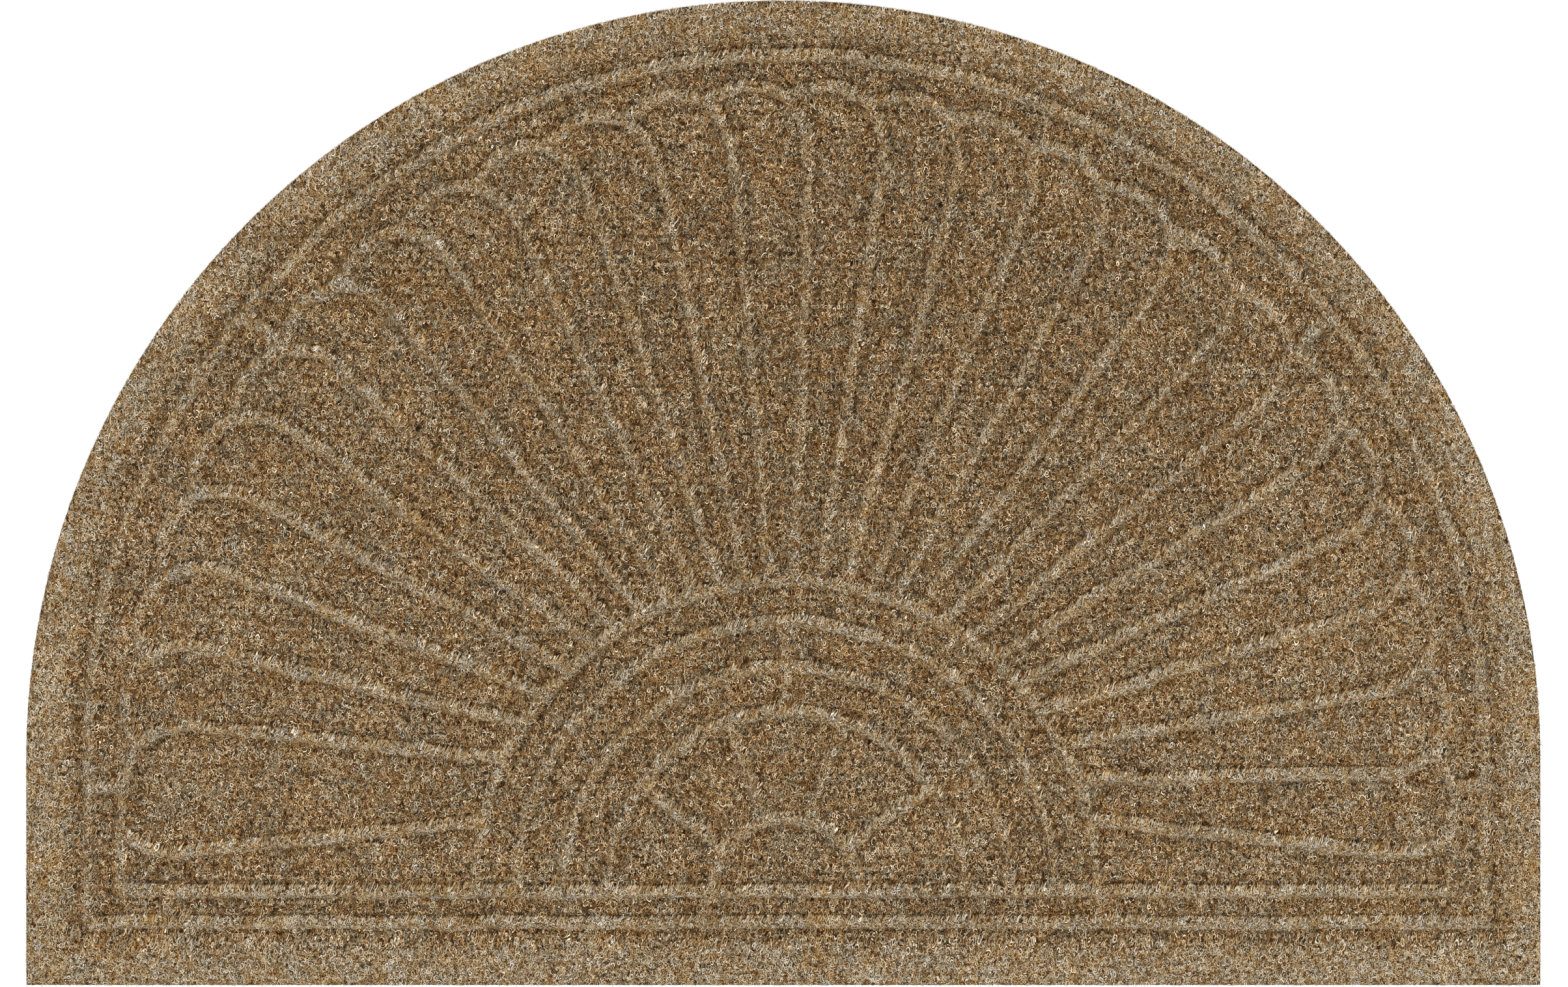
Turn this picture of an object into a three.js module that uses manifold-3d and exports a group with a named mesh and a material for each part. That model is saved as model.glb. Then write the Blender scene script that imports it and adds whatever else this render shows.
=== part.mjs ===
// A half-round doormat of needled carpet, pressed with a sunburst of raised cords.
//
// Millimetres, +Z up. The mat lies flat with its underside at z = 0. Plans are drawn from the middle
// of the straight front edge, with y towards the arch, and the mesh is then set back by half the mat's
// depth, so that the origin is on the floor under the middle of the mat.
import * as THREE from "three";
import * as BufferGeometryUtils from "three/addons/utils/BufferGeometryUtils.js";
import Module from "manifold-3d";

// The mat: a half circle that stands on short straight sides.
const matWidth = 914.4;
const straightSide = 137.4;
const edgeBreak = 0.7;

// Heights above the floor.
const fieldHeight = 6;
const matHeight = 8;
const reliefHeight = matHeight - fieldHeight;

// The flat rim rolls down to the field over a slope.
const rimWidth = 18;
const rimSlope = 11;

// A raised cord: its width where it leaves the field, how much of that its rounded sides take,
// and how deep it is rooted in the field.
const cordWidth = 8;
const cordRounding = 2.8;
const cordRoot = 0.3;
const cordFoot = 1.5;
const roundingSteps = 2;

// The pressed pattern lies a little off the middle of the cut outline.
const pressedShift = new THREE.Vector2(2, 2.6);

// The frame: an outer cord along the rim, and an inner one that turns into scallops round the arch.
const outerCordInset = 35;
const innerCordInset = 55.3;
const innerCordFront = 56.4;
const frontJoints = [-373, -45, 192];
const archJoints = [
  { scallop: 5, angle: 38.8 },
  { scallop: 19, angle: 140.6 },
];
const sideJointHeight = 119.5;

// The scallops: how far they bulge between their cusps, how much further out they stand over the
// crown of the arch, and by how many degrees the right-hand cusps lead and the left-hand ones lag.
const scallopCentre = new THREE.Vector2(1.6, 131);
const scallopCount = 24;
const firstCuspAngle = 1.6;
const lastCuspAngle = 178;
const cuspSway = 1.25;
const cuspRadius = 393;
const crownLift = 12;
const scallopBulge = 8.2;

// The flutes: cords that aim at one focus, straight up to a bend, then hooked round to their cusps.
const fluteFocus = new THREE.Vector2(3, 119.7);
const hookRadius = 363;
const hookTurn = 2;
const hookReach = 13;

// The lowest flute on each side bends up to the inner frame.
const flankAngle = 6.2;
const flankLength = 368;
const flankRise = 15;
const flankReachShare = 0.7;

// The hub: half rings on the front cord, five petals round the smallest, and joints at the top.
const hubCentre = new THREE.Vector2(2, innerCordFront);
const hubRadii = [188, 163, 135.5, 108.5];
const smallHubRadius = 45;
const petalCount = 5;

// Corners of a solid closer together than this are one.
const weldDistance = 1e-4;

// Steps of the curved cords.
const outlineSteps = 80;
const outerCordSteps = 56;
const scallopSteps = 6;
const hookSteps = 4;
const ringStepLength = 17;
const fewestRingSteps = 14;

const archRadius = matWidth / 2;
const matDepth = straightSide + archRadius;
const archCentre = new THREE.Vector2(0, straightSide);
const pressedCentre = archCentre.clone().add(pressedShift);

// The point at a distance from a centre, at an angle in degrees from +X.
function polar(centre, radius, degrees) {
  const angle = THREE.MathUtils.degToRad(degrees);
  return new THREE.Vector2(
    centre.x + radius * Math.cos(angle),
    centre.y + radius * Math.sin(angle),
  );
}

// Points along an arc, anticlockwise.
function arc(centre, radius, from, to, steps) {
  const points = [];
  for (let i = 0; i <= steps; i++) {
    points.push(polar(centre, radius, THREE.MathUtils.lerp(from, to, i / steps)));
  }
  return points;
}

// The half-round plan about an arch centre, with its straight front at a given y.
function halfRound(centre, radius, front, steps) {
  return [
    new THREE.Vector2(centre.x - radius, front),
    new THREE.Vector2(centre.x + radius, front),
    ...arc(centre, radius, 0, 180, steps),
  ];
}

const wasm = await Module();
wasm.setup();

// A closed geometry as a solid that can be joined and cut.
function toSolid(geometry) {
  const bare = geometry.clone();
  bare.deleteAttribute("normal");
  bare.deleteAttribute("uv");
  const merged = BufferGeometryUtils.mergeVertices(bare, weldDistance);
  return new wasm.Manifold(
    new wasm.Mesh({
      numProp: 3,
      vertProperties: merged.attributes.position.array,
      triVerts: new Uint32Array(merged.index.array),
    }),
  );
}

// The solid back as a geometry.
function toGeometry(solid) {
  const mesh = solid.getMesh();
  const geometry = new THREE.BufferGeometry();
  geometry.setAttribute("position", new THREE.BufferAttribute(mesh.vertProperties, 3));
  geometry.setIndex(new THREE.BufferAttribute(mesh.triVerts, 1));
  const faceted = geometry.toNonIndexed();
  faceted.computeVertexNormals();
  return faceted;
}

// The whole mat up to its rim, with the sharp edges of its cut broken.
function blank() {
  const plan = new THREE.Shape(halfRound(archCentre, archRadius, 0, outlineSteps));
  const geometry = new THREE.ExtrudeGeometry(plan, {
    depth: matHeight - 2 * edgeBreak,
    bevelThickness: edgeBreak,
    bevelSize: edgeBreak,
    bevelOffset: -edgeBreak,
    bevelSegments: 1,
  });
  geometry.translate(0, 0, edgeBreak);
  return toSolid(geometry);
}

// What the press sinks inside the rim: a shallow tray with sloping sides.
function sunkField() {
  const inset = rimWidth + rimSlope;
  const radius = archRadius - inset;
  const front = inset + pressedShift.y;
  const plan = new THREE.Shape(halfRound(pressedCentre, radius, front, outlineSteps));
  const geometry = new THREE.ExtrudeGeometry(plan, {
    depth: reliefHeight,
    bevelThickness: reliefHeight,
    bevelSize: rimSlope,
    bevelSegments: 1,
  });
  geometry.translate(0, 0, matHeight);
  return toSolid(geometry);
}

// Moves an open line sideways by a distance, mitred where it turns.
function offsetLine(line, distance) {
  return line.map((point, i) => {
    const before = point.clone().sub(line[Math.max(i - 1, 0)]);
    const after = line[Math.min(i + 1, line.length - 1)].clone().sub(point);
    const into = i > 0 ? before.normalize() : after.clone().normalize();
    const out = i < line.length - 1 ? after.normalize() : into.clone();
    const mitre = new THREE.Vector2(-into.y - out.y, into.x + out.x).normalize();
    const stretch = 1 / Math.abs(mitre.x * -into.y + mitre.y * into.x);
    return point.clone().addScaledVector(mitre, distance * stretch);
  });
}

// A plan raised as a cord: rooted below the field, with rounded shoulders and a flat crown.
function raise(plan) {
  const rounding = reliefHeight + cordRoot;
  const geometry = new THREE.ExtrudeGeometry(plan, {
    depth: cordFoot,
    bevelThickness: rounding,
    bevelSize: cordRounding,
    bevelOffset: -cordRounding,
    bevelSegments: roundingSteps,
  });
  geometry.translate(0, 0, fieldHeight - cordRoot - cordFoot);
  return toSolid(geometry);
}

// A cord along an open centre line.
function cord(line) {
  const left = offsetLine(line, cordWidth / 2);
  const right = offsetLine(line, -cordWidth / 2);
  return raise(new THREE.Shape([...left, ...right.reverse()]));
}

// The cord that follows the rim all the way round.
function outerCord() {
  const ring = (side) => {
    const inset = outerCordInset + side * (cordWidth / 2);
    const front = inset + pressedShift.y;
    return halfRound(pressedCentre, archRadius - inset, front, outerCordSteps);
  };
  const plan = new THREE.Shape(ring(-1));
  plan.holes.push(new THREE.Path(ring(1)));
  return raise(plan);
}

// The angle of a cusp, counted from the right, or of a place between two cusps.
function cuspAngle(index) {
  const share = index / scallopCount;
  const even = THREE.MathUtils.lerp(firstCuspAngle, lastCuspAngle, share);
  return even + cuspSway * Math.sin(2 * Math.PI * share);
}

// A radius at an angle, with what the crown of the arch adds to it.
function lifted(radius, angle) {
  return radius + crownLift * Math.sin(THREE.MathUtils.degToRad(angle)) ** 4;
}

// A point of the scalloped line, at a cusp's index or between two.
function scallopPoint(index) {
  const bulge = scallopBulge * Math.sin(Math.PI * (index % 1));
  const angle = cuspAngle(index);
  return polar(scallopCentre, lifted(cuspRadius, angle) + bulge, angle);
}

// The inner frame: along the front, up one side, over the scallops and down the other side.
function innerFrameLine() {
  const reach = archRadius - innerCordInset;
  const line = [new THREE.Vector2(pressedCentre.x - reach, innerCordFront)];
  line.push(new THREE.Vector2(pressedCentre.x + reach, innerCordFront));
  line.push(new THREE.Vector2(pressedCentre.x + reach, sideJointHeight));
  for (let step = 0; step <= scallopCount * scallopSteps; step++) {
    line.push(scallopPoint(step / scallopSteps));
  }
  line.push(new THREE.Vector2(pressedCentre.x - reach, sideJointHeight));
  return line;
}

// The inner frame in two runs, along the front and over the arch, which overlap at the front corners.
function innerFrame() {
  const line = innerFrameLine();
  const overlap = cordWidth / 2;
  const front = line.slice(0, 2);
  const sides = [...line.slice(1), line[0]];
  front[0] = front[0].clone().setX(front[0].x - overlap);
  front[1] = front[1].clone().setX(front[1].x + overlap);
  return [cord(front), cord(sides)];
}

// Where the line from a point along a direction leaves a circle round a centre.
function reachOfCircle(from, direction, centre, radius) {
  const offset = from.clone().sub(centre);
  const along = offset.dot(direction);
  const outward = offset.lengthSq() - radius * radius;
  const distance = Math.sqrt(along * along - outward) - along;
  return from.clone().addScaledVector(direction, distance);
}

// A flute from the hub's largest ring, straight to its bend, then hooked to its end.
function flute(bend, reach, end) {
  const direction = bend.clone().sub(fluteFocus).normalize();
  const start = reachOfCircle(fluteFocus, direction, hubCentre, hubRadii[0]);
  const turn = bend.clone().addScaledVector(direction, reach);
  const hook = new THREE.QuadraticBezierCurve(bend, turn, end);
  return cord([start, ...hook.getPoints(hookSteps)]);
}

// The flutes under the scallops, one to each cusp.
function archFlutes() {
  const flutes = [];
  for (let i = 0; i <= scallopCount; i++) {
    const angle = cuspAngle(i);
    const bend = polar(scallopCentre, lifted(hookRadius, angle), angle - hookTurn);
    flutes.push(flute(bend, hookReach, scallopPoint(i)));
  }
  return flutes;
}

// The lowest flute on each side, which ends on the inner frame.
function flankFlutes() {
  return [1, -1].map((side) => {
    const angle = side > 0 ? -flankAngle : 180 + flankAngle;
    const bend = polar(fluteFocus, flankLength, angle);
    const frameSide = pressedCentre.x + side * (archRadius - innerCordInset);
    const end = new THREE.Vector2(frameSide, bend.y + flankRise);
    return flute(bend, Math.abs(frameSide - bend.x) * flankReachShare, end);
  });
}

// The hub's half rings, with steps of about one length, and more of them on the smallest.
function hubRings() {
  return [...hubRadii, smallHubRadius].map((radius) => {
    const steps = Math.round((Math.PI * radius) / ringStepLength);
    return cord(arc(hubCentre, radius, 0, 180, Math.max(steps, fewestRingSteps)));
  });
}

// The ribs between the petals, and the upright joints at the top of the hub.
function hubJoints() {
  const joints = [];
  for (let i = 1; i < petalCount; i++) {
    joints.push([smallHubRadius, hubRadii[3], (180 * i) / petalCount]);
  }
  joints.push([hubRadii[3], hubRadii[2], 90]);
  joints.push([hubRadii[2], hubRadii[1], 90]);
  return joints.map(([inner, outer, angle]) =>
    cord([polar(hubCentre, inner, angle), polar(hubCentre, outer, angle)]),
  );
}

// The short joints between the two cords of the frame.
function frameJoints() {
  const outerFront = outerCordInset + pressedShift.y;
  const front = frontJoints.map((x) => [
    new THREE.Vector2(x, outerFront),
    new THREE.Vector2(x, innerCordFront),
  ]);
  const outerReach = archRadius - outerCordInset;
  const arch = archJoints.map(({ scallop, angle }) => [
    scallopPoint(scallop),
    polar(archCentre, outerReach, angle),
  ]);
  const innerReach = archRadius - innerCordInset;
  const sides = [1, -1].map((side) => [
    new THREE.Vector2(pressedCentre.x + side * innerReach, sideJointHeight),
    new THREE.Vector2(pressedCentre.x + side * outerReach, sideJointHeight),
  ]);
  return [...front, ...arch, ...sides].map(cord);
}

// The finished mat: the blank, sunk inside its rim, with every cord joined on.
function buildMat() {
  const cords = [
    outerCord(),
    ...innerFrame(),
    ...frameJoints(),
    ...archFlutes(),
    ...flankFlutes(),
    ...hubRings(),
    ...hubJoints(),
  ];
  let mat = blank().subtract(sunkField());
  for (const raised of cords) {
    mat = mat.add(raised);
  }
  return toGeometry(mat);
}

const carpet = new THREE.MeshStandardMaterial({
  color: 0x86714f,
  roughness: 0.95,
  metalness: 0,
});

const mat = new THREE.Mesh(buildMat(), carpet);
mat.name = "mat";
mat.position.y = -matDepth / 2;

const doormat = new THREE.Group();
doormat.name = "doormat";
doormat.add(mat);

export default doormat;
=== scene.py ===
"""A half-round doormat of needled carpet, pressed with a sunburst of raised cords.

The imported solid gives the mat's outline and thickness. Here it is dressed as carpet: a ground that
carries the rim, the slope, the cords and the needle rows, and a pile of curled fibres on top of it.

Plans are in millimetres from the middle of the straight front edge, with y towards the arch.
Meshes are written in metres, set back by half the mat's depth.
"""
import math

import bpy
import numpy as np
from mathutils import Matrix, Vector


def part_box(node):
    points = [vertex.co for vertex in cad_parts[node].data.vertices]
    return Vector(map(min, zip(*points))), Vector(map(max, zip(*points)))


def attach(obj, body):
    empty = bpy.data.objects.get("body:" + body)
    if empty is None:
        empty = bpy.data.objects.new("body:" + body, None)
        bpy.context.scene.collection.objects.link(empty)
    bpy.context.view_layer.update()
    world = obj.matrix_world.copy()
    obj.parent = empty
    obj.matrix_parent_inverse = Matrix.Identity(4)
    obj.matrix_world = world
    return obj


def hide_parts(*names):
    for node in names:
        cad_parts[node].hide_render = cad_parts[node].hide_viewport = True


bl_info = {
    "name": "Half-round Doormat",
    "version": (1, 0, 0),
    "blender": (4, 5, 0),
    "location": "3D View > Sidebar > Doormat",
    "description": "A half-round entrance mat of needled carpet with a raised sunburst",
    "category": "Add Mesh",
}

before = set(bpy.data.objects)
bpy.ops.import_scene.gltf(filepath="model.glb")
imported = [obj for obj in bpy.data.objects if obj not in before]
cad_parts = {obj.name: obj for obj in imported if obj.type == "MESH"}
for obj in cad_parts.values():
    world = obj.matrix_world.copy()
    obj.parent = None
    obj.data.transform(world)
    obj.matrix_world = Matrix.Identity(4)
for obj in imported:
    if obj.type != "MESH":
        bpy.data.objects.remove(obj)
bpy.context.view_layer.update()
MAT_LOW, MAT_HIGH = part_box("mat")

MM = 0.001
MAT_WIDTH = MAT_HIGH.x - MAT_LOW.x
MAT_DEPTH = MAT_HIGH.y - MAT_LOW.y
MAT_HEIGHT = MAT_HIGH.z - MAT_LOW.z
ARCH_RADIUS = MAT_WIDTH / 2 / MM
STRAIGHT_SIDE = MAT_DEPTH / MM - ARCH_RADIUS
ARCH_CENTRE = np.array([0.0, STRAIGHT_SIDE])
MIDDLE = np.array([0.0, MAT_DEPTH / MM / 2])

# The pressed pattern lies a little off the middle of the cut outline.
PRESSED_SHIFT = np.array([2.0, 2.6])
PRESSED_CENTRE = ARCH_CENTRE + PRESSED_SHIFT

# The frame: an outer cord along the rim and an inner one that turns into scallops.
OUTER_CORD_INSET = 35.0
INNER_CORD_INSET = 55.3
INNER_CORD_FRONT = 56.4
OUTER_STEPS = 90
FRONT_JOINTS = (-373.0, -45.0, 192.0)
ARCH_JOINTS = ((5, 38.8), (19, 140.6))
SIDE_JOINT_HEIGHT = 119.5

# The scallops and the flutes that end in their cusps.
SCALLOP_CENTRE = np.array([1.6, 131.0])
SCALLOP_COUNT = 24
SCALLOP_STEPS = 8
FIRST_CUSP = 1.6
LAST_CUSP = 178.0
CUSP_SWAY = 1.25
CUSP_RADIUS = 393.0
CROWN_LIFT = 12.0
SCALLOP_BULGE = 8.2
FLUTE_FOCUS = np.array([3.0, 119.7])
HOOK_RADIUS = 363.0
HOOK_TURN = 2.0
HOOK_REACH = 13.0
HOOK_STEPS = 8
FLANK_ANGLE = 6.2
FLANK_LENGTH = 368.0
FLANK_RISE = 15.0
FLANK_REACH_SHARE = 0.7

# The hub of half rings, with ribs between its petals.
HUB_CENTRE = np.array([2.0, INNER_CORD_FRONT])
HUB_RADII = (188.0, 163.0, 135.5, 108.5)
SMALL_HUB_RADIUS = 45.0
PETAL_COUNT = 5

# Soft noises over the plan: how far they go, the size of their waves, and a seed.
CORD_SWAY_X = (1.0, 24, 22)
CORD_SWAY_Y = (1.0, 24, 23)
RAGGED_SIDES = (0.15, 13, 21)
ROW_SWAY = (0.5, 38, 3)
ROW_FADING = (1.0, 120, 4)
COARSE_LUMPS = (0.16, 13, 5)
FINE_LUMPS = (0.12, 5.5, 6)
SMALL_PATCHES = (1.0, 4.5, 31)
LARGE_PATCHES = (0.5, 26, 32)

# How many points a side of the noises' lattice has, and where the plan's origin lies in it.
LATTICE_SIDE = 257
LATTICE_X = 40.3
LATTICE_Y = 17.9

# How far from a cord's line its effects reach, and where the thin line of painted shadow beside it
# lies.
CORD_REACH = 12.0
SHADOW_LINE_DISTANCE = 4.5

# How the mixed fibres tint the carpet from place to place.
ORANGE_TINT = (1.22, 0.97, 0.60)
GREY_TINT = (0.98, 1.01, 0.97)
RUST_TINT = (1.06, 0.77, 0.44)
PALE_TINT = (1.00, 0.97, 0.93)

# Carpet that stands open is lighter by these shares of red, green and blue; the painted light and
# shade by the cords, the slope and the rows shift it by the same shares.
PRESSED_AND_SHADING_TINT = (0.99, 1.00, 1.08)
WHITE = (1.0, 1.0, 1.0)


def length_property(name, description, default, low, high):
    """A length that the user can change, given here in millimetres."""
    return bpy.props.FloatProperty(
        name=name,
        description=description,
        default=default * MM,
        min=low * MM,
        max=high * MM,
        subtype="DISTANCE",
        unit="LENGTH",
    )


def colour_property(name, description, default):
    """A linear RGB colour that the user can change."""
    return bpy.props.FloatVectorProperty(
        name=name,
        description=description,
        default=default,
        subtype="COLOR",
        size=3,
        min=0,
        max=1,
    )


class DoormatSizes(bpy.types.PropertyGroup):
    """Sizes of the carpet's relief."""

    relief: length_property("Relief", "Height of the rim and cords over the field", 2, 0.5, 4)
    rim_width: length_property("Rim Width", "Width of the flat rim", 18, 5, 40)
    rim_slope: length_property("Rim Slope", "Width of the slope inside the rim", 11, 3, 30)
    cord_width: length_property("Cord Width", "Width of a raised cord at its foot", 8.8, 4, 20)
    groove_depth: length_property("Groove Depth", "Depth of the groove by a cord", 0.6, 0, 2)
    row_pitch: length_property("Row Pitch", "Distance between two rows of needling", 5, 2, 12)
    row_height: length_property("Row Height", "Height of the rows over their valleys", 0.5, 0, 2)


class DoormatPile(bpy.types.PropertyGroup):
    """Sizes of the pile's fibres."""

    loop_radius: length_property("Loop Radius", "Usual radius of a curled fibre", 1.1, 0.5, 4)
    fibre_width: length_property("Fibre Width", "Width of one fibre", 0.35, 0.1, 1)
    loop_count: bpy.props.IntProperty(
        name="Loops a Colour",
        description="Number of curled fibres of each colour",
        default=23000,
        min=100,
        max=24000,
    )
    loop_height: length_property("Loop Height", "How high the fibres are spread", 0.9, 0.1, 3)
    edge_count: bpy.props.IntProperty(
        name="Edge Fibres",
        description="Number of loose fibres along the cut edge",
        default=3200,
        min=0,
        max=10000,
    )


class DoormatColours(bpy.types.PropertyGroup):
    """Colours of the fibres, the ground and the studio."""

    brown_dark: colour_property("Brown, Dark", "Deepest brown fibres", (0.072, 0.036, 0.012))
    brown_light: colour_property("Brown, Light", "Lightest brown fibres", (0.215, 0.136, 0.064))
    tan_dark: colour_property("Tan, Dark", "Deepest tan fibres", (0.250, 0.165, 0.085))
    tan_light: colour_property("Tan, Light", "Lightest tan fibres", (0.490, 0.365, 0.225))
    grey_dark: colour_property("Grey, Dark", "Deepest grey fibres", (0.280, 0.215, 0.140))
    grey_light: colour_property("Grey, Light", "Lightest grey fibres", (0.520, 0.430, 0.310))
    cream_dark: colour_property("Cream, Dark", "Deepest cream fibres", (0.440, 0.350, 0.235))
    cream_light: colour_property("Cream, Light", "Lightest cream fibres", (0.770, 0.674, 0.525))
    # The gaps' near-black colour is painted shade: the shadow deep in the pile between the fibres.
    gap: colour_property("Gaps", "What shows between the fibres", (0.014, 0.006, 0.0015))
    base: colour_property("Base", "The moulded underside", (0.030, 0.028, 0.026))
    floor: colour_property("Floor", "The studio floor", (0.970, 0.970, 0.970))


def polar(centre, radius, degrees):
    """Points at a distance from a centre, at an angle in degrees from +x."""
    turn = np.radians(degrees)
    offset = np.stack([radius * np.cos(turn), radius * np.sin(turn)], axis=-1)
    return centre + offset


def arc(centre, radius, steps):
    """Points on a half circle from right to left, at even steps."""
    return polar(centre, radius, np.linspace(0, 180, steps + 1))


def cusp_angle(index):
    """Angle of a cusp counted from the right: even steps with one slow sway over the whole arch."""
    share = index / SCALLOP_COUNT
    even = FIRST_CUSP + (LAST_CUSP - FIRST_CUSP) * share
    return even + CUSP_SWAY * np.sin(2 * np.pi * share)


def lifted(radius, degrees):
    """A radius, and what the crown adds to it: the lift times the fourth power of the sine."""
    return radius + CROWN_LIFT * np.sin(np.radians(degrees)) ** 4


def scallop_point(index):
    """A point of the scalloped line: between two cusps it bulges as half a sine wave."""
    degrees = cusp_angle(index)
    bulge = SCALLOP_BULGE * np.sin(np.pi * (index % 1))
    return polar(SCALLOP_CENTRE, lifted(CUSP_RADIUS, degrees) + bulge, degrees)


def flute_line(bend, reach, end):
    """A flute: straight from the hub's largest ring to its bend, then a quadratic curve to its end."""
    direction = (bend - FLUTE_FOCUS) / np.linalg.norm(bend - FLUTE_FOCUS)
    offset = FLUTE_FOCUS - HUB_CENTRE
    along = offset @ direction
    distance = math.sqrt(along**2 - offset @ offset + HUB_RADII[0] ** 2) - along
    start = FLUTE_FOCUS + direction * distance
    turn = bend + direction * reach
    t = np.linspace(0, 1, HOOK_STEPS + 1)[:, None]
    hook = bend * (1 - t) ** 2 + turn * 2 * t * (1 - t) + end * t**2
    return np.concatenate([start[None], hook])


def cord_lines():
    """Centre lines of every raised cord, each as an array of points."""
    outer = ARCH_RADIUS - OUTER_CORD_INSET
    inner = ARCH_RADIUS - INNER_CORD_INSET
    centre_x = PRESSED_CENTRE[0]
    front, outer_front = INNER_CORD_FRONT, OUTER_CORD_INSET + PRESSED_SHIFT[1]
    left, right = centre_x - inner, centre_x + inner
    start = (centre_x - outer, outer_front)
    arch = arc(PRESSED_CENTRE, outer, OUTER_STEPS)
    scallops = scallop_point(np.arange(SCALLOP_COUNT * SCALLOP_STEPS + 1) / SCALLOP_STEPS)
    rising = ((left, front), (right, front), (right, SIDE_JOINT_HEIGHT))
    falling = ((left, SIDE_JOINT_HEIGHT), (left, front))
    lines = [
        np.array([start, (centre_x + outer, outer_front), *arch, start]),
        np.array([*rising, *scallops, *falling]),
    ]
    for x in FRONT_JOINTS:
        lines.append(np.array([[x, outer_front], [x, front]]))
    for scallop, degrees in ARCH_JOINTS:
        lines.append(np.stack([scallop_point(scallop), polar(ARCH_CENTRE, outer, degrees)]))
    for side in (-1, 1):
        near, far = centre_x + side * inner, centre_x + side * outer
        lines.append(np.array([(near, SIDE_JOINT_HEIGHT), (far, SIDE_JOINT_HEIGHT)]))
        bend = polar(FLUTE_FOCUS, FLANK_LENGTH, 90 - side * (90 + FLANK_ANGLE))
        end = np.array([near, bend[1] + FLANK_RISE])
        lines.append(flute_line(bend, FLANK_REACH_SHARE * abs(end[0] - bend[0]), end))
    for index in range(SCALLOP_COUNT + 1):
        degrees = cusp_angle(index)
        bend = polar(SCALLOP_CENTRE, lifted(HOOK_RADIUS, degrees), degrees - HOOK_TURN)
        lines.append(flute_line(bend, HOOK_REACH, scallop_point(index)))
    for radius in HUB_RADII + (SMALL_HUB_RADIUS,):
        lines.append(arc(HUB_CENTRE, radius, max(20, round(radius / 2))))
    for index in range(1, PETAL_COUNT):
        reach = np.array([SMALL_HUB_RADIUS, HUB_RADII[3]])
        lines.append(polar(HUB_CENTRE, reach, 180 * index / PETAL_COUNT))
    for reach in (HUB_RADII[3:1:-1], HUB_RADII[2:0:-1]):
        lines.append(polar(HUB_CENTRE, np.array(reach), 90))
    return lines


def eased(value):
    """Smooth step from 0 to 1: three times the square less twice the cube."""
    value = np.clip(value, 0, 1)
    return value * value * (3 - 2 * value)


def bell(value, middle, width):
    """A bell curve, 1 at its middle: e to the power of minus the square of the way from there."""
    return np.exp(-(((value - middle) / width) ** 2))


def blend(table, u, v, ease=lambda share: share):
    """A table read between its points, by shares that may be eased. It repeats past its ends."""
    rows, columns = table.shape
    i = np.floor(u).astype(int)
    j = np.floor(v).astype(int)
    s = ease(u - i)
    t = ease(v - j)
    i0, i1 = i % columns, (i + 1) % columns
    j0, j1 = j % rows, (j + 1) % rows
    low = table[j0, i0] * (1 - s) + table[j0, i1] * s
    high = table[j1, i0] * (1 - s) + table[j1, i1] * s
    return low * (1 - t) + high * t


def soft_noise(x, y, size, cell, seed):
    """Smooth noise up to a size either way: random values on a square lattice, eased between."""
    lattice = np.random.default_rng(seed).uniform(-1, 1, (LATTICE_SIDE, LATTICE_SIDE))
    return size * blend(lattice, x / cell + LATTICE_X, y / cell + LATTICE_Y, eased)


def inset_from(centre, front, x, y):
    """Distance in from a half-round outline: the least of the distances to its front and its side."""
    across = np.abs(x - centre[0])
    side = ARCH_RADIUS - np.where(y < centre[1], across, np.hypot(across, y - centre[1]))
    return np.minimum(side, y - front)


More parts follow.
